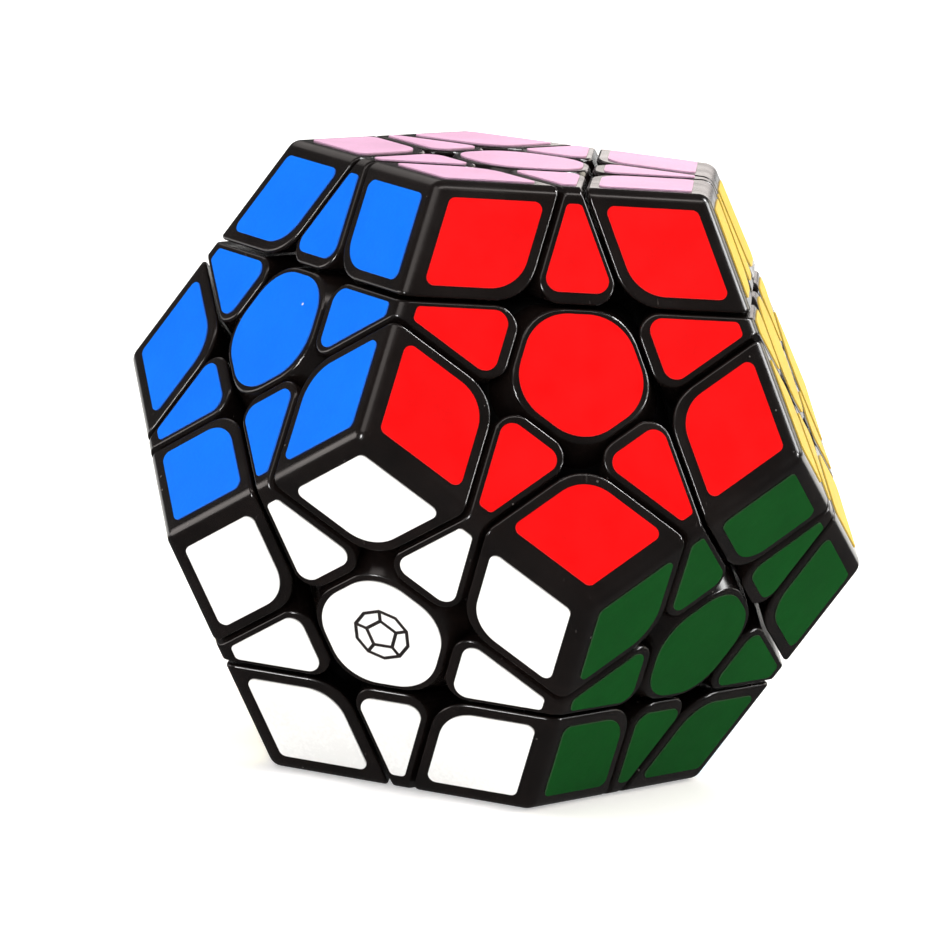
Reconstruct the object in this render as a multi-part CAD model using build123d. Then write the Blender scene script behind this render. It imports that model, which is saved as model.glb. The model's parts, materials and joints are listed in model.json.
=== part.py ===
"""Twelve-sided twisty puzzle, three layers across each face. Millimetres, +Z out of the pink face."""

from build123d import *
import math
import os

# ---- Overall size ----
EDGE = 32.0  # edge of the sharp dodecahedron
FACE_R = 0.6881909602 * EDGE  # face centre to edge
HALF = 1.1135163644 * EDGE  # body centre to face
CUT_IN = 0.445 * EDGE  # cut line to outer edge, measured on a face
GAP = 0.36  # seam between two pieces
SMOOTH = 0.02  # keeps flat walls off the turned ones
BASE = (Align.CENTER, Align.CENTER, Align.MIN)
COS_N = 1.0 / math.sqrt(5.0)  # between neighbouring faces
SIN_N = 2.0 / math.sqrt(5.0)
CUT = HALF - SIN_N * CUT_IN  # body centre to cut plane

# ---- Rounding ----
R_OUTER = 1.8  # outer edges of the body
SKIN_DEPTH = 0.8  # a face whose middle is nearer the outside than this is an outer face
R_SEAM = 0.36  # rim of every piece
R_CORNER_IN = 6.3  # inner upright edges of a corner piece
R_EDGE_IN = 2.1  # inner upright edges of an edge piece
R_CENTRE_IN = 6.1  # upright edges of a centre piece

# ---- Layer boundary inside: neck cone above, wider foot cone below ----
NECK_DEG = 42.0
FOOT_DEG = 48.0
CORE_R = 12.7
FOOT_R0 = 13.0
FOOT_R1 = 20.0
FOOT_Z0 = 8.0
FOOT_Z1 = 22.0
NECK_Z0 = 12.0
REACH = 60.0

# ---- Shells ----
WALL = 1.2
CORNER_SHOULDER = 32.6
EDGE_SHOULDER = 30.2
CORNER_PEG_R = 1.7
EDGE_PEG_R = 2.4
PEG_LEN = 3.2
PEG_ROOT = 2.0  # the part of a peg inside its foot
PEG_FREE = 0.05
OVER = 1.0  # how far a tool passes what it cuts or joins

# ---- Blanks that the cones and spheres trim ----
CORNER_BLANK_Z = 10.0
CORNER_BLANK_R = 9.0
CORNER_NECK_R = 3.6
EDGE_BLANK_Z = 9.0
EDGE_NECK_Z = 15.0
CENTRE_BLANK_Z = 8.0
CENTRE_FAN_DEG = 33.0
BLANK_X = 20.0
BLANK_Y = 26.0
BLANK_H = 12.0
LINK_Z = 17.0  # between the foot and the neck
LINK_H = 6.0
POINT_R = 0.01  # the end of a cone that comes to a point

# ---- Centres, screws and springs ----
CAP_Z = 32.3
WELL_Z = 20.5
WELL_R = 4.2
TUBE_R = 5.4
TUBE_TOP = 27.5
POCKET_Z = 22.0
PLUG_R = 7.3
PLUG_H = 1.2
PLUG_WALL = 1.1
CAP_SKIN = 1.6
POST_R = 2.0
POST_Z = 15.0
POST_FREE = 0.15
BORE_R = 1.45
BORE_Z = 5.0
SHANK_R = 1.35
SHANK_HOLE_R = 1.6
SHANK_TIP_Z = 5.5
SHANK_TIP_R = 0.55
SHANK_TIP_H = 0.8
SPRING_Z = 20.6
SPRING_H = 6.0
SPRING_R = 3.2
SPRING_TURNS = 4.5
WIRE_R = 0.35
WASHER_Z = 26.7
WASHER_T = 0.5
WASHER_R = 3.8
WASHER_FREE = 0.15
HEAD_R = 3.0
HEAD_H = 2.1
HEAD_ROUND = 0.8
SLOT_W = 0.8
SLOT_L = 3.4
SLOT_D = 1.2
SLOT_TOOL_H = 3.0

# ---- Stickers ----
STICKER_T = 0.15
IN_OUTER = 0.061 * EDGE  # sticker to sharp outer edge
IN_NEAR = 0.0245 * EDGE  # sticker to cut line, on the centre's side of the line
IN_FAR = 0.0553 * EDGE  # sticker to cut line, on the outer side
S_CENTRE = 0.172 * EDGE
S_CORNER_IN = 0.150 * EDGE
S_CORNER = 0.028 * EDGE
S_EDGE_TIP = 0.018 * EDGE
S_EDGE_IN = 0.048 * EDGE

# ---- Which faces exist, and which of them carry a turning layer ----
TILT = math.degrees(math.acos(COS_N))
V_TILT = 37.37736814  # corner direction to face direction
E_TILT = 31.71747441  # edge direction to face direction
UPPER = ["red", "yellow", "grey", "lime", "blue"]
LOWER = ["green", "sky", "orange", "cream", "white"]
LAYERS = ["pink", "white", "sky"]


def direction(azimuth, polar):
    a, p = math.radians(azimuth), math.radians(polar)
    return Vector(math.sin(p) * math.cos(a), math.sin(p) * math.sin(a), math.cos(p))


def face_normals():
    normals = {"pink": Vector(0, 0, 1), "purple": Vector(0, 0, -1)}
    for k, name in enumerate(UPPER):
        normals[name] = direction(-90 + 72 * k, TILT)
    for k, name in enumerate(LOWER):
        normals[name] = direction(-54 + 72 * k, 180 - TILT)
    return normals


NORMALS = face_normals()


def ring_of(name):
    """The five neighbours of a face, in order round its normal."""
    n = NORMALS[name]
    near = [m for m in NORMALS if abs(n.dot(NORMALS[m]) - COS_N) < 1e-6]
    first = (NORMALS[near[0]] - n * COS_N).normalized()
    side = n.cross(first)

    def turn(m):
        t = NORMALS[m] - n * COS_N
        return math.atan2(t.dot(side), t.dot(first)) % (2 * math.pi)

    return sorted(near, key=lambda m: round(turn(m), 4) % round(2 * math.pi, 4))


def owner(faces):
    """The turning layer that a piece belongs to, or the frame."""
    for layer in LAYERS:
        if layer in faces:
            return layer
    return "frame"


# ---- Regions ----
def beyond(n, distance):
    """Everything further out than a plane."""
    block = Box(2 * REACH, 2 * REACH, REACH, align=BASE)
    return Plane(origin=n * distance, z_dir=n) * block


def within(n, distance):
    """Everything nearer than a plane."""
    block = Box(4 * REACH, 4 * REACH, 3 * REACH, align=(Align.CENTER, Align.CENTER, Align.MAX))
    return Plane(origin=n * distance, z_dir=n) * block


def on_cone(half_angle, grow, radius):
    """The point of a cone, moved outwards by grow, that is radius from the body centre."""
    s, c = math.sin(math.radians(half_angle)), math.cos(math.radians(half_angle))
    z0 = -grow / s
    t = -z0 * c + math.sqrt(radius * radius - z0 * z0 * s * s)
    return t * s, z0 + t * c


def on_plane(half_angle, grow, z):
    s, c = math.sin(math.radians(half_angle)), math.cos(math.radians(half_angle))
    z0 = -grow / s
    return (z - z0) * s / c, z


def turned(n, points, cap_radius=None):
    """An outline in (radius, height) turned about a face's axis, with its seam on the far side."""
    path = Polyline(*[(x, 0, z) for x, z in points], close=cap_radius is None)
    if cap_radius is not None:
        half = math.atan2(points[-1][0], points[-1][1]) / 2
        middle = (cap_radius * math.sin(half), 0, cap_radius * math.cos(half))
        top = (0, 0, cap_radius)
        path = path + ThreePointArc((points[-1][0], 0, points[-1][1]), middle, top)
        path = path + Line(top, (0, 0, points[0][1]))
    solid = revolve(make_face(path), Axis.Z, 360)
    seam = n * n.Z - Vector(0, 0, 1)
    return Plane(origin=(0, 0, 0), x_dir=seam, z_dir=n) * solid


def foot_cone(n, grow):
    """The wide cone that a layer's feet stay inside."""
    low, high = on_plane(FOOT_DEG, grow, FOOT_Z0), on_plane(FOOT_DEG, grow, FOOT_Z1)
    return turned(n, [(0, FOOT_Z0), low, high, (0, FOOT_Z1)])


def foot_room(n, grow):
    """The space that a layer's feet sweep, up to the underside of its neighbours' skirts."""
    radius = FOOT_R1 + grow
    low = on_plane(FOOT_DEG, grow, FOOT_Z0)
    return turned(n, [(0, FOOT_Z0), low, on_cone(FOOT_DEG, grow, radius)], radius)


def neck_region(n, grow):
    """The narrow cone of a layer's necks, opening into everything above its cut plane."""
    return turned(
        n,
        [
            (0, NECK_Z0),
            on_plane(NECK_DEG, grow, NECK_Z0),
            on_plane(NECK_DEG, grow, CUT - grow),
            (REACH, CUT - grow),
            (REACH, REACH),
            (0, REACH),
        ],
    )


def common(shapes):
    result = shapes[0]
    for shape in shapes[1:]:
        result = result & shape
    return solid_of(result)


def solid_of(shape):
    solids = shape.solids()
    return max(solids, key=lambda s: s.volume)


# ---- Rounding ----
def lies_on(edge, normals, distance, count):
    """True if an edge lies on exactly count of the planes at a distance."""
    hits = 0
    for n in normals:
        if all(abs(edge.position_at(t).dot(n) - distance) < 1e-4 for t in (0.1, 0.5, 0.9)):
            hits += 1
    return hits == count


def rim_edges(solid, outer):
    """The edges between a piece's outside and its walls."""

    def is_outside(face):
        p = face.position_at(0.5, 0.5)
        return max(p.dot(n) for n in outer) > HALF - SKIN_DEPTH

    outside = [e for f in solid.faces() if is_outside(f) for e in f.edges()]
    walls = [e for f in solid.faces() if not is_outside(f) for e in f.edges()]
    return [e for e in outside if any(e.is_same(w) for w in walls)]


def round_piece(solid, outer, upright, radius):
    solid = solid.fillet(radius, [e for e in solid.edges() if upright(e)])
    ridges = [e for e in solid.edges() if lies_on(e, outer, HALF, 2)]
    if ridges:
        solid = solid.fillet(R_OUTER, ridges)
    return solid.fillet(R_SEAM, rim_edges(solid, outer))


# ---- Corner piece: its own axis is +Z here ----
def corner_pieces():
    n = [direction(120 * k, V_TILT) for k in range(3)]
    near = CUT + GAP / 2 + SMOOTH
    body = common([within(m, HALF) for m in n] + [beyond(m, near) for m in n])
    body = round_piece(body, n, lambda e: lies_on(e, n, near, 2), R_CORNER_IN)
    cavity = common(
        [within(m, HALF - WALL) for m in n]
        + [beyond(m, near + WALL) for m in n]
        + [beyond(Vector(0, 0, 1), CORNER_SHOULDER + WALL)]
    )
    shell = body - within(Vector(0, 0, 1), CORNER_SHOULDER) - cavity
    shell = shell - Pos(0, 0, CORNER_SHOULDER) * Cylinder(CORNER_PEG_R + PEG_FREE, 2 * WALL + OVER)
    foot = Pos(0, 0, CORNER_BLANK_Z) * Cylinder(CORNER_BLANK_R, BLANK_H, align=BASE) - Sphere(FOOT_R0)
    foot = solid_of(foot & Sphere(FOOT_R1 - GAP / 2))
    neck = Pos(0, 0, LINK_Z) * Cylinder(CORNER_NECK_R, CORNER_SHOULDER - LINK_Z, align=BASE)
    for m in n:
        foot = solid_of(foot & foot_cone(m, -GAP / 2))
        neck = solid_of(neck & neck_region(m, -GAP / 2))
    peg_h = PEG_LEN + PEG_ROOT
    peg = Cylinder(CORNER_PEG_R, peg_h, align=BASE)
    foot = foot + neck + Pos(0, 0, CORNER_SHOULDER - PEG_ROOT) * peg
    return solid_of(shell), solid_of(foot)


# ---- Edge piece: its own axis is +Z, its two faces lean along X ----
def edge_pieces():
    n = [direction(0, E_TILT), direction(180, E_TILT)]
    ends = [direction(90, 90 - E_TILT), direction(270, 90 - E_TILT)]
    near = CUT + GAP / 2 + SMOOTH
    far = CUT - GAP / 2 - SMOOTH
    body = common(
        [within(m, HALF) for m in n] + [beyond(m, near) for m in n] + [within(m, far) for m in ends]
    )
    upright = lambda e: lies_on(e, n, near, 1) and lies_on(e, ends, far, 1)
    body = round_piece(body, n, upright, R_EDGE_IN)
    cavity = common(
        [within(m, HALF - WALL) for m in n]
        + [beyond(m, near + WALL) for m in n]
        + [within(m, far - WALL) for m in ends]
        + [beyond(Vector(0, 0, 1), EDGE_SHOULDER + WALL)]
    )
    shell = body - within(Vector(0, 0, 1), EDGE_SHOULDER) - cavity
    shell = shell - Pos(0, 0, EDGE_SHOULDER) * Cylinder(EDGE_PEG_R + PEG_FREE, 2 * WALL + OVER)
    foot = Pos(0, 0, EDGE_BLANK_Z) * Box(BLANK_X, BLANK_Y, BLANK_H, align=BASE) - Sphere(FOOT_R0)
    foot = solid_of(foot & Sphere(FOOT_R1 - GAP / 2))
    link = Pos(0, 0, LINK_Z) * Box(BLANK_X, BLANK_Y, LINK_H, align=BASE)
    neck = Pos(0, 0, EDGE_NECK_Z) * Box(BLANK_X, BLANK_Y, EDGE_SHOULDER - EDGE_NECK_Z, align=BASE)
    neck = solid_of(neck - Sphere(FOOT_R1 + GAP / 2))
    for m in ends:
        foot = solid_of(foot - foot_cone(m, GAP / 2))
        link = solid_of(link - foot_cone(m, GAP / 2))
        neck = solid_of(neck - neck_region(m, GAP / 2))
    for m in n:
        foot = solid_of(foot & foot_cone(m, -GAP / 2))
        link = solid_of(link & neck_region(m, -GAP / 2))
        neck = solid_of(neck & neck_region(m, -GAP / 2))
    foot = solid_of(foot + link + neck)
    pocket = Pos(0, 0, FOOT_R1 + WALL) * Box(BLANK_X, BLANK_Y, HALF, align=BASE)
    for m in ends:
        pocket = solid_of(pocket - neck_region(m, GAP / 2 + WALL))
    for m in n:
        pocket = solid_of(pocket & neck_region(m, -GAP / 2 - WALL))
    foot = foot - (pocket - Cylinder(EDGE_PEG_R, REACH, align=BASE))
    peg_h = PEG_LEN + PEG_ROOT
    peg = Cylinder(EDGE_PEG_R, peg_h, align=BASE)
    foot = foot + Pos(0, 0, EDGE_SHOULDER - PEG_ROOT) * peg
    return solid_of(shell), solid_of(foot)


# ---- Centre piece: its own axis is +Z ----
def centre_pieces():
    up = Vector(0, 0, 1)
    ring = [direction(72 * k, TILT) for k in range(5)]
    far = CUT - GAP / 2 - SMOOTH
    body = common([within(up, HALF), beyond(up, CENTRE_BLANK_Z)] + [within(m, far) for m in ring])
    body = round_piece(body, [up], lambda e: lies_on(e, ring, far, 2), R_CENTRE_IN)
    fan = math.tan(math.radians(CENTRE_FAN_DEG)) * HALF
    body = body & Cone(POINT_R, fan, HALF, align=BASE)
    for m in ring:
        body = solid_of(body - foot_room(m, GAP / 2))
        body = solid_of(body - neck_region(m, GAP / 2))
    body = solid_of(body - Sphere(FOOT_R0))
    pocket = common([within(up, HALF), beyond(up, POCKET_Z)] + [within(m, far - WALL) for m in ring])
    for m in ring:
        pocket = solid_of(pocket - neck_region(m, GAP / 2 + WALL))
    pocket = solid_of(pocket - Cylinder(TUBE_R, TUBE_TOP, align=BASE))
    hub = body - beyond(up, CAP_Z) - pocket
    hub = hub - Cylinder(SHANK_HOLE_R, HALF, align=BASE)
    hub = hub - Cylinder(POST_R + POST_FREE, POST_Z + POST_FREE, align=BASE)
    hub = hub - Pos(0, 0, WELL_Z) * Cylinder(WELL_R, HALF, align=BASE)
    bored = Pos(0, 0, CAP_Z - PLUG_H) * Cylinder(PLUG_R - PLUG_WALL, HALF, align=BASE)
    plug = Pos(0, 0, CAP_Z - PLUG_H) * Cylinder(PLUG_R, PLUG_H + OVER, align=BASE)
    cap = solid_of(body - within(up, CAP_Z)) + plug
    cap = cap - (bored - beyond(up, HALF - CAP_SKIN))
    return solid_of(hub), solid_of(cap)


# ---- Core, screws, springs and washers ----
def axis_place(n):
    return Plane(origin=(0, 0, 0), z_dir=n).location


def core_solid():
    core = Sphere(CORE_R)
    for n in NORMALS.values():
        core = core + axis_place(n) * Cylinder(POST_R, POST_Z, align=BASE)
    for n in NORMALS.values():
        core = core - axis_place(n) * Pos(0, 0, BORE_Z) * Cylinder(BORE_R, REACH, align=BASE)
    return solid_of(core)


def screw_solid():
    head_z = WASHER_Z + WASHER_T
    head = Cylinder(HEAD_R, HEAD_H, align=BASE)
    head = head.fillet(HEAD_ROUND, head.edges().group_by(Axis.Z)[-1])
    slot = Pos(0, 0, HEAD_H - SLOT_D) * Box(SLOT_L, SLOT_W, SLOT_TOOL_H, align=BASE)
    cross = slot + Rot(0, 0, 90) * slot
    shank_z = SHANK_TIP_Z + SHANK_TIP_H
    shank = Pos(0, 0, shank_z) * Cylinder(SHANK_R, head_z - shank_z, align=BASE)
    tip = Pos(0, 0, SHANK_TIP_Z) * Cone(SHANK_TIP_R, SHANK_R, SHANK_TIP_H, align=BASE)
    return solid_of(Pos(0, 0, head_z) * (head - cross) + shank + tip)


def spring_solid():
    path = Helix(pitch=(SPRING_H - 2 * WIRE_R) / SPRING_TURNS, height=SPRING_H - 2 * WIRE_R, radius=SPRING_R)
    section = Plane(origin=path @ 0, z_dir=path % 0) * Circle(WIRE_R)
    wire = sweep(section, path=path)
    return Pos(0, 0, SPRING_Z + WIRE_R) * solid_of(wire)


def washer_solid():
    ring = Cylinder(WASHER_R, WASHER_T) - Cylinder(SHANK_R + WASHER_FREE, WASHER_T + OVER)
    return Pos(0, 0, WASHER_Z + WASHER_T / 2) * solid_of(ring)


# ---- Stickers, drawn on a face with +X towards one neighbour ----
def sticker(lines, radii):
    corners = []
    for k in range(len(lines)):
        (a1, o1), (a2, o2) = lines[k], lines[(k + 1) % len(lines)]
        c1, s1 = math.cos(math.radians(a1)), math.sin(math.radians(a1))
        c2, s2 = math.cos(math.radians(a2)), math.sin(math.radians(a2))
        det = c1 * s2 - c2 * s1
        corners.append(((o1 * s2 - o2 * s1) / det, (c1 * o2 - c2 * o1) / det))
    outline = make_face(Polyline(*corners, close=True))
    for (x, y), radius in zip(corners, radii):
        here = [v for v in outline.vertices() if math.hypot(v.X - x, v.Y - y) < 1e-4]
        outline = fillet(here, radius)
    return solid_of(extrude(outline, STICKER_T))


def sticker_shapes():
    cut = FACE_R - CUT_IN
    out = FACE_R - IN_OUTER
    inner = cut - IN_NEAR
    past = cut + IN_FAR
    centre = sticker([(72 * k, inner) for k in range(5)], [S_CENTRE] * 5)
    edge = sticker(
        [(-72, inner), (0, out), (72, inner), (180, -past)],
        [S_EDGE_TIP, S_EDGE_TIP, S_EDGE_IN, S_EDGE_IN],
    )
    corner = sticker(
        [(0, out), (72, out), (180, -past), (252, -past)],
        [S_CORNER, S_CORNER, S_CORNER_IN, S_CORNER],
    )
    return centre, edge, corner


def face_place(name, neighbour):
    n = NORMALS[name]
    along = (NORMALS[neighbour] - n * COS_N).normalized()
    return Plane(origin=n * HALF, x_dir=along, z_dir=n).location


# ---- Assembly ----
def build_nodes():
    nodes = {}

    def put(node, solid, place):
        nodes.setdefault(node, []).append(solid.moved(place))

    hub, cap = centre_pieces()
    edge_shell, edge_foot = edge_pieces()
    corner_shell, corner_foot = corner_pieces()
    on_centre, on_edge, on_corner = sticker_shapes()
    nodes["core"] = [core_solid()]
    screw, spring, washer = screw_solid(), spring_solid(), washer_solid()
    done = set()
    for name, n in NORMALS.items():
        ring = ring_of(name)
        centre = Plane(origin=(0, 0, 0), x_dir=NORMALS[ring[0]] - n * COS_N, z_dir=n).location
        layer = owner([name])
        put("screws", screw, centre)
        put("springs", spring, centre)
        put("washers", washer, centre)
        put(layer + "_centre_hubs", hub, centre)
        put(layer + "_centre_caps", cap, centre)
        put("stickers_" + layer + "_" + name, on_centre, face_place(name, ring[0]))
        for k, other in enumerate(ring):
            pair = frozenset([name, other])
            layer = owner(pair)
            put("stickers_" + layer + "_" + name, on_edge, face_place(name, other))
            if pair not in done:
                done.add(pair)
                axis = (n + NORMALS[other]).normalized()
                place = Plane(origin=(0, 0, 0), x_dir=n - axis * n.dot(axis), z_dir=axis).location
                put(layer + "_edge_shells", edge_shell, place)
                put(layer + "_edge_feet", edge_foot, place)
            third = ring[(k + 1) % 5]
            trio = frozenset([name, other, third])
            layer = owner(trio)
            put("stickers_" + layer + "_" + name, on_corner, face_place(name, other))
            if trio not in done:
                done.add(trio)
                axis = (n + NORMALS[other] + NORMALS[third]).normalized()
                place = Plane(origin=(0, 0, 0), x_dir=n - axis * n.dot(axis), z_dir=axis).location
                put(layer + "_corner_shells", corner_shell, place)
                put(layer + "_corner_feet", corner_foot, place)
    return nodes


os.makedirs("parts", exist_ok=True)
for node, solids in build_nodes().items():
    shape = solids[0] if len(solids) == 1 else Compound(solids)
    export_step(shape, "parts/" + node + ".step")
    print(node, len(solids), round(sum(s.volume for s in solids)))
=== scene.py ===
import json
import math

import bmesh
import bpy
from mathutils import Matrix, Vector


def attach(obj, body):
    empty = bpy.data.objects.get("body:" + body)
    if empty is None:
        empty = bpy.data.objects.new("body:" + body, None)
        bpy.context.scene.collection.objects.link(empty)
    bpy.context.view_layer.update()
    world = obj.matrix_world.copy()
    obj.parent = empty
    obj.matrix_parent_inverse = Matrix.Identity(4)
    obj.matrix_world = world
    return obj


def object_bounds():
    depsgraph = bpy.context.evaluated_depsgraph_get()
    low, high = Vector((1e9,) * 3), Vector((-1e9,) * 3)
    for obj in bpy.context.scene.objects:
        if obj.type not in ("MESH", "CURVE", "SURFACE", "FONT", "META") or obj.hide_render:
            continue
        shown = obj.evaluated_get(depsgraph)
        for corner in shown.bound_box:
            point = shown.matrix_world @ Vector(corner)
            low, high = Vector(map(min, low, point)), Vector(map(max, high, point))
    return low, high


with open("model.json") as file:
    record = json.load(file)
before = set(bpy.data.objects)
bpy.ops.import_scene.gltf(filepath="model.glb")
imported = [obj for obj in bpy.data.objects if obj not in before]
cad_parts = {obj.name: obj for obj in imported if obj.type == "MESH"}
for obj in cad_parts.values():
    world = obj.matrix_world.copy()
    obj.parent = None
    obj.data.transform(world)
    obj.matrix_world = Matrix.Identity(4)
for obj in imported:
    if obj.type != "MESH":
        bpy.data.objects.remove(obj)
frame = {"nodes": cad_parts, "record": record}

CAD_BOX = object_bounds()
MM = 0.001
UP = Vector((0, 0, 1))

# ---- Body, a dodecahedron that rests on a face ----
FILM_T = 0.15 * MM
HALF = CAD_BOX[1][2] - FILM_T  # centre to face, under the film
INRADIUS = math.sqrt(250 + 110 * math.sqrt(5)) / 20  # centre to face where an edge is 1
EDGE = HALF / INRADIUS
TILT = math.acos(1 / math.sqrt(5))  # between the directions of neighbouring faces

# ---- Film ----
FILM_ROUGH = 0.42
FILM_GLOSS = 0.12
FILM_PALE_AND_HIGHLIGHT = (0.82, 0.80, 0.78, 1)  # specks, and the paler cut edge, which is partly a painted highlight
RING_R = 5.3 * MM  # pressed ring on the white centre
RING_W = 0.35 * MM

# ---- Printed mark ----
MARK_R = 3.5 * MM  # out to its corners
MARK_LINE = 0.42 * MM  # width of a line
MARK_T = 0.012 * MM  # thickness of the ink

# ---- Studio, in metres ----
FLOOR_REACH = 5.0  # from its middle to each side
FLOOR_SPLIT = 0.10  # the floor behind this line shows in gloss
FLOOR_GLOW = 0.45
SURROUND_SEEN = 1.0  # brightness to the camera
SURROUND_ON_OBJECT = 0.10  # brightness as light
WARM = (1.0, 0.92, 0.88)
SAND = (1.0, 0.93, 0.78)

# ---- Camera ----
CAMERA_AZ = -15.53  # degrees from the front, positive to the right
CAMERA_EL = 9.73
CAMERA_ROLL = 5.17
CAMERA_FAR = 23.09 * EDGE
CAMERA_LEFT = 0.0768 * EDGE  # the line of sight passes this far left of the object's centre
CAMERA_DOWN = 0.0514 * EDGE  # and this far below it
SENSOR = 36.0  # width in mm
LENS = 238.153  # focal length in mm

scene = bpy.context.scene
scene.view_settings.view_transform = "Standard"


# ---- Face directions, as in the CAD ----
def direction(degrees, lean):
    """A unit vector that leans from straight up, towards degrees round from +X."""
    a = math.radians(degrees)
    return Vector((math.sin(lean) * math.cos(a), math.sin(lean) * math.sin(a), math.cos(lean)))


NORMALS = {"pink": UP, "purple": -UP}
for k, name in enumerate(["red", "yellow", "grey", "lime", "blue"]):
    NORMALS[name] = direction(-90 + 72 * k, TILT)
for k, name in enumerate(["green", "sky", "orange", "cream", "white"]):
    NORMALS[name] = direction(-54 + 72 * k, math.pi - TILT)


# ---- Materials ----
class Graph:
    """A node tree that is quick to write."""

    def __init__(self, name):
        self.mat = bpy.data.materials.new(name)
        self.mat.use_nodes = True
        self.nodes = self.mat.node_tree.nodes
        self.links = self.mat.node_tree.links
        self.nodes.clear()
        self.out = self.nodes.new("ShaderNodeOutputMaterial")
        self.shader = self.nodes.new("ShaderNodeBsdfPrincipled")
        self.links.new(self.shader.outputs[0], self.out.inputs[0])
        coordinates = self.nodes.new("ShaderNodeTexCoord")
        self.place = coordinates.outputs["Object"]
        self.normal = coordinates.outputs["Normal"]

    def put(self, socket, value):
        if isinstance(value, bpy.types.NodeSocket):
            self.links.new(value, socket)
        else:
            socket.default_value = value

    def set(self, **values):
        for key, value in values.items():
            self.put(self.shader.inputs[key.replace("_", " ")], value)

    def noise(self, per_metre, detail=3.0, rough=0.5, stretch=None, distort=0.0):
        node = self.nodes.new("ShaderNodeTexNoise")
        source = self.place
        if stretch is not None:
            mapping = self.nodes.new("ShaderNodeMapping")
            mapping.inputs["Scale"].default_value = stretch
            self.links.new(source, mapping.inputs["Vector"])
            source = mapping.outputs[0]
        self.links.new(source, node.inputs["Vector"])
        node.inputs["Scale"].default_value = per_metre
        node.inputs["Detail"].default_value = detail
        node.inputs["Roughness"].default_value = rough
        node.inputs["Distortion"].default_value = distort
        return node.outputs["Fac"]

    def specks(self, per_metre, size, share):
        """Small round spots, in a share of the cells of a cell pattern."""
        node = self.nodes.new("ShaderNodeTexVoronoi")
        self.links.new(self.place, node.inputs["Vector"])
        node.inputs["Scale"].default_value = per_metre
        near = self.math("LESS_THAN", node.outputs["Distance"], size)
        pick = self.nodes.new("ShaderNodeSeparateColor")
        self.links.new(node.outputs["Color"], pick.inputs[0])
        rare = self.math("LESS_THAN", pick.outputs[0], share)
        return self.math("MULTIPLY", near, rare)

    def distance(self, point):
        node = self.nodes.new("ShaderNodeVectorMath")
        node.operation = "DISTANCE"
        self.links.new(self.place, node.inputs[0])
        node.inputs[1].default_value = point
        return node.outputs["Value"]

    def facing(self, look):
        """How squarely the surface looks along a direction, 0 at its sides and 1 on its flat."""
        node = self.nodes.new("ShaderNodeVectorMath")
        node.operation = "DOT_PRODUCT"
        self.links.new(self.normal, node.inputs[0])
        node.inputs[1].default_value = look
        return self.math("ABSOLUTE", node.outputs["Value"])

    def math(self, kind, a, b=0.0):
        node = self.nodes.new("ShaderNodeMath")
        node.operation = kind
        self.put(node.inputs[0], a)
        self.put(node.inputs[1], b)
        return node.outputs[0]

    def span(self, value, low, high, to_low, to_high):
        node = self.nodes.new("ShaderNodeMapRange")
        self.put(node.inputs["Value"], value)
        node.inputs["From Min"].default_value = low
        node.inputs["From Max"].default_value = high
        node.inputs["To Min"].default_value = to_low
        node.inputs["To Max"].default_value = to_high
        return node.outputs[0]

    def mix(self, factor, a, b):
        node = self.nodes.new("ShaderNodeMix")
        node.data_type = "RGBA"
        self.put(node.inputs["Factor"], factor)
        self.put(node.inputs["A"], a)
        self.put(node.inputs["B"], b)
        return node.outputs["Result"]

    def bump(self, height, strength, distance, below=None):
        node = self.nodes.new("ShaderNodeBump")
        self.put(node.inputs["Height"], height)
        node.inputs["Strength"].default_value = strength
        node.inputs["Distance"].default_value = distance
        if below is not None:
            self.links.new(below, node.inputs["Normal"])
        return node.outputs[0]


def rgba(colour, scale=1.0):
    return tuple(min(1.0, c * scale) for c in colour) + (1.0,)


def black_plastic(name, colour, rough, grain):
    """Moulded ABS: near black, satin, with a fine matt grain, faint swirls and a little dust."""
    g = Graph(name)
    tone = g.noise(160, 4.0, 0.55)
    base = g.mix(g.span(tone, 0.35, 0.7, 0, 1), rgba(colour, 0.75), rgba(colour, 1.5))
    dust = g.math("MULTIPLY", g.specks(700, 0.10, 0.06), 0.5)
    hair = g.span(g.noise(2600, 1.0, 0.4, stretch=(1.0, 0.12, 0.35)), 0.73, 0.78, 0, 0.18)
    scuff = g.math("MULTIPLY", hair, g.span(g.noise(130, 2.0, 0.5), 0.50, 0.62, 0, 1))
    marks = g.math("MAXIMUM", dust, scuff)
    g.set(Base_Color=g.mix(marks, base, (0.17, 0.15, 0.14, 1)))
    smear = g.noise(75, 3.0, 0.6, distort=1.2)
    smeared = g.span(smear, 0.3, 0.7, rough - 0.05, rough + 0.07)
    g.set(Roughness=g.math("ADD", smeared, g.math("MULTIPLY", marks, 0.3)))
    g.set(Specular_IOR_Level=0.5)
    fine = g.bump(g.noise(9000, 2.0, 0.6), grain, 0.02 * MM)
    g.set(Normal=g.bump(g.noise(420, 2.0, 0.5), 0.10, 0.08 * MM, fine))
    return g.mat


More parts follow.
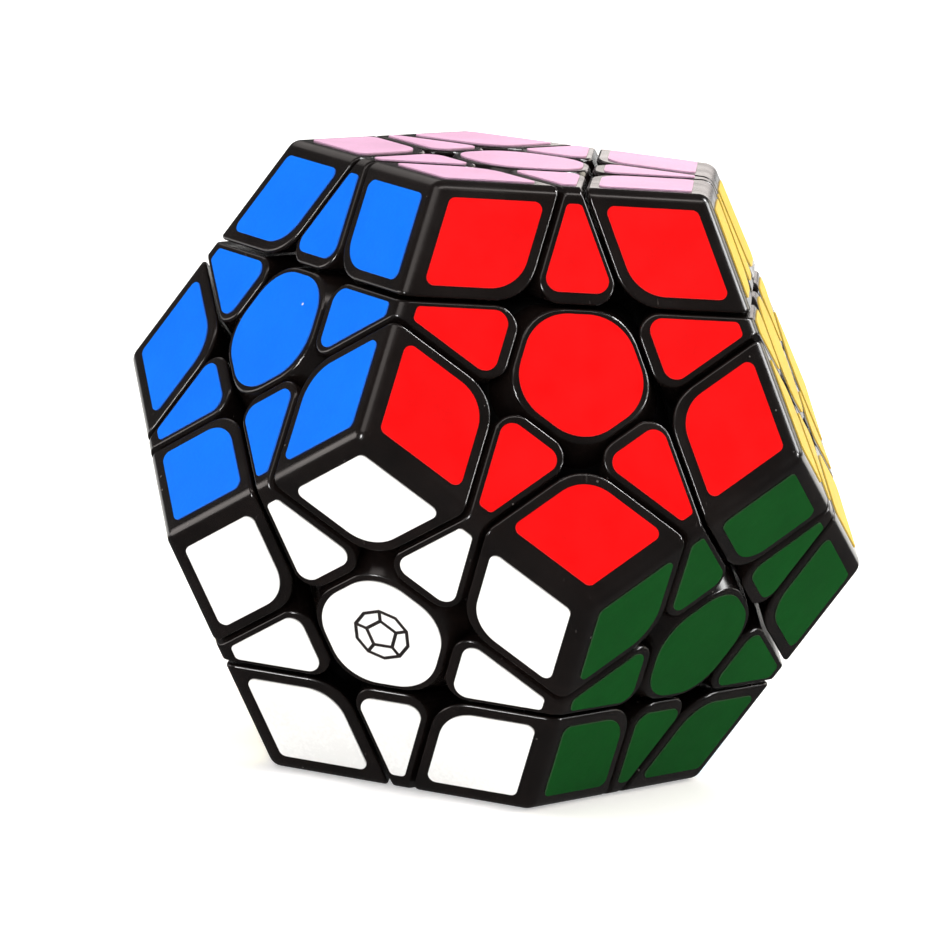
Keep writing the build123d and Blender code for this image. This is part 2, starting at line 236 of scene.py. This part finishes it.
def vinyl(name, colour, normal, ringed):
    """Vinyl film: even colour with faint mottling, orange peel, pale specks and a paler cut edge,
    the edge's paleness partly a painted highlight.
    """
    g = Graph(name)
    broad = g.noise(110, 3.0, 0.55)
    small = g.noise(2400, 2.0, 0.5)
    shade = g.math("ADD", g.math("MULTIPLY", broad, 0.6), g.math("MULTIPLY", small, 0.4))
    base = g.mix(g.span(shade, 0.38, 0.62, 0, 1), rgba(colour, 0.92), rgba(colour, 1.04))
    flecks = g.math("MULTIPLY", g.specks(430, 0.075, 0.03), 0.8)
    # Painted highlight: the film's side walls are mixed towards pale, partly for the film's own
    # paler cut and partly for the light that edge catches.
    cut_edge_and_highlight = g.span(g.facing(normal), 0.35, 0.75, 0.05, 0.0)
    g.set(Base_Color=g.mix(g.math("MAXIMUM", flecks, cut_edge_and_highlight), base, FILM_PALE_AND_HIGHLIGHT))
    wear = g.noise(230, 4.0, 0.6)
    g.set(Roughness=g.span(wear, 0.3, 0.7, FILM_ROUGH - 0.04, FILM_ROUGH + 0.06))
    g.set(Specular_IOR_Level=FILM_GLOSS)
    peel = g.bump(g.noise(1500, 2.0, 0.55), 0.16, 0.06 * MM)
    if ringed:
        off = g.math("ABSOLUTE", g.math("SUBTRACT", g.distance(normal * HALF), RING_R))
        peel = g.bump(g.span(off, 0.0, RING_W, 1, 0), 0.5, 0.15 * MM, peel)
    g.set(Normal=peel)
    return g.mat


def metal(name, colour, rough, stretch):
    """Plated or drawn steel with fine lines."""
    g = Graph(name)
    lines = g.noise(1400, 3.0, 0.6, stretch=stretch)
    g.set(Base_Color=g.mix(g.span(lines, 0.35, 0.65, 0, 1), rgba(colour, 0.8), rgba(colour, 1.1)))
    g.set(Metallic=1.0)
    g.set(Roughness=g.span(lines, 0.3, 0.7, rough - 0.06, rough + 0.08))
    g.set(Normal=g.bump(lines, 0.12, 0.03 * MM))
    return g.mat


def nylon(name, colour):
    """Natural nylon: milky, with slight waxy unevenness and mould marks."""
    g = Graph(name)
    cloud = g.noise(120, 4.0, 0.6)
    g.set(Base_Color=g.mix(g.span(cloud, 0.3, 0.7, 0, 1), rgba(colour, 0.9), rgba(colour, 1.05)))
    g.set(Roughness=g.span(g.noise(500), 0.3, 0.7, 0.36, 0.5))
    g.set(Normal=g.bump(g.noise(1800, 3.0, 0.6), 0.12, 0.04 * MM))
    return g.mat


def srgb(r, g, b):
    def one(v):
        v = v / 255.0
        return v / 12.92 if v <= 0.04045 else ((v + 0.055) / 1.055) ** 2.4

    return one(r), one(g), one(b)


BLACK_OUTER = (0.0056, 0.0036, 0.0031)
BLACK_INNER = (0.009, 0.0085, 0.008)
NYLON = (0.62, 0.60, 0.53)
ZINC = (0.70, 0.70, 0.68)
DRAWN_STEEL = (0.62, 0.62, 0.61)
FILM = {
    "pink": srgb(240, 190, 224),
    "red": srgb(244, 1, 4),
    "yellow": srgb(240, 202, 70),
    "grey": srgb(150, 152, 154),
    "lime": srgb(150, 214, 62),
    "blue": srgb(8, 118, 250),
    "green": srgb(4, 79, 22),
    "sky": srgb(128, 206, 240),
    "orange": srgb(250, 126, 22),
    "cream": srgb(244, 236, 190),
    "white": srgb(246, 246, 244),
    "purple": srgb(104, 44, 150),
}
MATERIALS = {
    "black_plastic": black_plastic("black_plastic_moulded", BLACK_OUTER, rough=0.20, grain=0.10),
    "black_inner": black_plastic("black_inner_moulded", BLACK_INNER, rough=0.42, grain=0.22),
    "core_nylon": nylon("core_nylon_natural", NYLON),
    "zinc_steel": metal("zinc_steel_plate", ZINC, rough=0.26, stretch=(1, 1, 6)),
    "spring_steel": metal("spring_steel_drawn", DRAWN_STEEL, rough=0.30, stretch=(6, 6, 1)),
}
for name, colour in FILM.items():
    ringed = name == "white"
    MATERIALS["sticker_" + name] = vinyl("film_" + name, colour, NORMALS[name], ringed)

SLOT_OF = {s["node"]: s["material_slot"] for s in frame["record"]["subparts"]}
for node, obj in frame["nodes"].items():
    obj.data.materials[0] = MATERIALS[SLOT_OF[node]]


# ---- A generic printed mark on the white centre: the outline of a dodecahedron ----
def ink():
    g = Graph("mark_ink")
    patch = g.span(g.noise(900, 4.0, 0.6), 0.3, 0.7, 0, 1)
    g.set(Base_Color=g.mix(patch, (0.010, 0.006, 0.006, 1), (0.026, 0.017, 0.016, 1)))
    g.set(Roughness=g.span(g.noise(3000), 0.3, 0.7, 0.38, 0.52))
    g.set(Normal=g.bump(g.noise(6000), 0.1, 0.02 * MM))
    return g.mat


def polar(radius, degrees, across=0.0):
    """A point of the mark, out along a spoke and then moved sideways by across."""
    a = math.radians(degrees)
    out = Vector((math.cos(a), math.sin(a), 0))
    return radius * out + across * UP.cross(out)


def mark_loops():
    """Outer decagon, the five cells between its spokes, and the hole in the middle pentagon."""
    half = MARK_LINE / 2
    rim = MARK_R - MARK_LINE / math.cos(math.radians(18))
    hub = MARK_R * (math.sqrt(5) - 1) / 2
    hole = hub - MARK_LINE / math.cos(math.radians(36))
    foot = hub - half / math.tan(math.radians(54))
    head = rim - half / math.tan(math.radians(72))
    loops = [[polar(MARK_R, 36 * k) for k in range(10)], [polar(hole, 72 * k) for k in range(5)]]
    for k in range(5):
        a, b = 72 * k, 72 * (k + 1)
        cell = [polar(foot, a, half), polar(foot, b, -half), polar(head, b, -half)]
        loops.append(cell + [polar(rim, a + 36), polar(head, a, half)])
    return loops


def printed_mark(name):
    mesh = bmesh.new()
    edges = []
    for loop in mark_loops():
        points = [mesh.verts.new(p) for p in loop]
        edges += [mesh.edges.new((points[k - 1], points[k])) for k in range(len(points))]
    made = bmesh.ops.triangle_fill(mesh, use_beauty=True, use_dissolve=False, edges=edges, normal=UP)
    faces = [f for f in made["geom"] if isinstance(f, bmesh.types.BMFace)]
    top = bmesh.ops.extrude_face_region(mesh, geom=faces)["geom"]
    for vert in (v for v in top if isinstance(v, bmesh.types.BMVert)):
        vert.co.z += MARK_T
    bmesh.ops.recalc_face_normals(mesh, faces=mesh.faces)
    normal = NORMALS["white"]
    across = UP.cross(normal).normalized()
    turn = Matrix((across, normal.cross(across), normal)).transposed().to_4x4()
    turn.translation = normal * (HALF + FILM_T)
    mesh.transform(turn @ Matrix.Rotation(math.radians(90), 4, "Z"))
    data = bpy.data.meshes.new(name)
    mesh.to_mesh(data)
    mesh.free()
    data.materials.append(ink())
    obj = bpy.data.objects.new(name, data)
    scene.collection.objects.link(obj)
    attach(obj, "white_layer")


printed_mark("white_centre_mark")


# ---- Floor, light and camera ----
def paper():
    g = Graph("floor_paper")
    cloud = g.noise(2.2, 3.0, 0.5)
    g.set(Base_Color=g.mix(cloud, (0.92, 0.92, 0.92, 1), (0.95, 0.95, 0.95, 1)))
    g.set(Roughness=g.span(g.noise(60), 0.3, 0.7, 0.75, 0.9))
    g.set(Specular_IOR_Level=0.1, Emission_Color=(1, 1, 1, 1), Emission_Strength=FLOOR_GLOW)
    return g.mat


def floor(name, front, back, reflects, material):
    """A strip of the floor. Only the strip behind the object shows in its gloss."""
    low = CAD_BOX[0][2]
    left, right = -FLOOR_REACH, FLOOR_REACH
    mesh = bpy.data.meshes.new(name)
    corners = [(left, front, low), (right, front, low), (right, back, low), (left, back, low)]
    mesh.from_pydata(corners, [], [(0, 1, 2, 3)])
    mesh.materials.append(material)
    obj = bpy.data.objects.new(name, mesh)
    scene.collection.objects.link(obj)
    obj.visible_glossy = reflects


def softbox(name, azimuth, elevation, far, size, radiance, colour=(1, 1, 1), shows="both"):
    """A soft lamp that faces the object. Azimuth 0 is at the front (-Y), positive to the right (+X).

    It shows in gloss alone ("gloss"), in diffuse light alone ("fill"), or in both.
    """
    a, e = math.radians(azimuth), math.radians(elevation)
    place = Vector((math.sin(a) * math.cos(e), -math.cos(a) * math.cos(e), math.sin(e))) * far
    data = bpy.data.lights.new(name, "AREA")
    data.shape = "RECTANGLE"
    data.size, data.size_y = size
    data.energy = radiance * math.pi * size[0] * size[1]
    data.color = colour
    obj = bpy.data.objects.new(name, data)
    scene.collection.objects.link(obj)
    obj.location = place
    obj.rotation_euler = (-place).to_track_quat("-Z", "Y").to_euler()
    obj.visible_diffuse = shows != "gloss"
    obj.visible_glossy = shows != "fill"
    obj.visible_camera = False


def camera():
    az, el, roll = (math.radians(v) for v in (CAMERA_AZ, CAMERA_EL, CAMERA_ROLL))
    back = Vector((math.sin(az) * math.cos(el), -math.cos(az) * math.cos(el), math.sin(el)))
    right = UP.cross(back).normalized()
    up = back.cross(right)
    right, up = (
        math.cos(roll) * right + math.sin(roll) * up,
        -math.sin(roll) * right + math.cos(roll) * up,
    )
    data = bpy.data.cameras.new("camera")
    data.sensor_width = SENSOR
    data.lens = LENS
    data.clip_start = 0.01
    obj = bpy.data.objects.new("camera", data)
    scene.collection.objects.link(obj)
    turn = Matrix((right, up, back)).transposed().to_4x4()
    turn.translation = CAMERA_FAR * back - CAMERA_LEFT * right - CAMERA_DOWN * up
    obj.matrix_world = turn
    scene.camera = obj


def surround():
    """White to the camera, dim to everything else."""
    world = bpy.data.worlds.new("studio")
    world.use_nodes = True
    tree = world.node_tree
    ray = tree.nodes.new("ShaderNodeLightPath")
    level = tree.nodes.new("ShaderNodeMapRange")
    level.inputs["To Min"].default_value = SURROUND_ON_OBJECT
    level.inputs["To Max"].default_value = SURROUND_SEEN
    tree.links.new(ray.outputs["Is Camera Ray"], level.inputs["Value"])
    background = tree.nodes["Background"]
    tree.links.new(level.outputs[0], background.inputs["Strength"])
    background.inputs["Color"].default_value = (1, 1, 1, 1)
    scene.world = world


white_paper = paper()
floor("floor", -FLOOR_REACH, FLOOR_SPLIT, False, white_paper)
floor("floor_behind", FLOOR_SPLIT, FLOOR_REACH, True, white_paper)
# Lamps: name, azimuth, elevation, distance, size, radiance
softbox("top", 0, 90, 1.6, (2.2, 2.2), 1.3, shows="fill")
softbox("key", -32, 18, 1.2, (0.8, 0.6), 2.8, shows="fill")
softbox("back_fill", 165, 24, 1.3, (0.9, 0.7), 2.6, shows="fill")
softbox("front_top", 6, 68, 1.2, (1.0, 0.24), 3.6, WARM)
softbox("left_high", -67, 50, 1.2, (0.6, 0.5), 1.6, WARM)
softbox("left_low", -109, 6, 0.9, (0.46, 0.30), 3.4, WARM)
softbox("right_fill", 97, 28, 0.9, (0.35, 0.5), 9.0, SAND, shows="fill")
softbox("right_card", 116, 18, 0.9, (0.32, 0.34), 3.6, SAND, shows="gloss")
softbox("back_high", -168, 36, 1.2, (0.8, 0.4), 0.7, WARM)
softbox("rim_left", -58, 8, 1.0, (0.12, 0.32), 45.0, shows="gloss")
softbox("rim_right", 83, 34, 1.0, (0.30, 0.40), 14.0, shows="gloss")
softbox("rim_right_low", 66, 14, 1.0, (0.12, 0.20), 45.0, shows="gloss")
softbox("rim_right_high", 94, 53, 1.0, (0.20, 0.16), 45.0, shows="gloss")
softbox("back_card", 150, 17, 0.253, (0.12, 0.06), 1.6, WARM, shows="gloss")
camera()
surround()
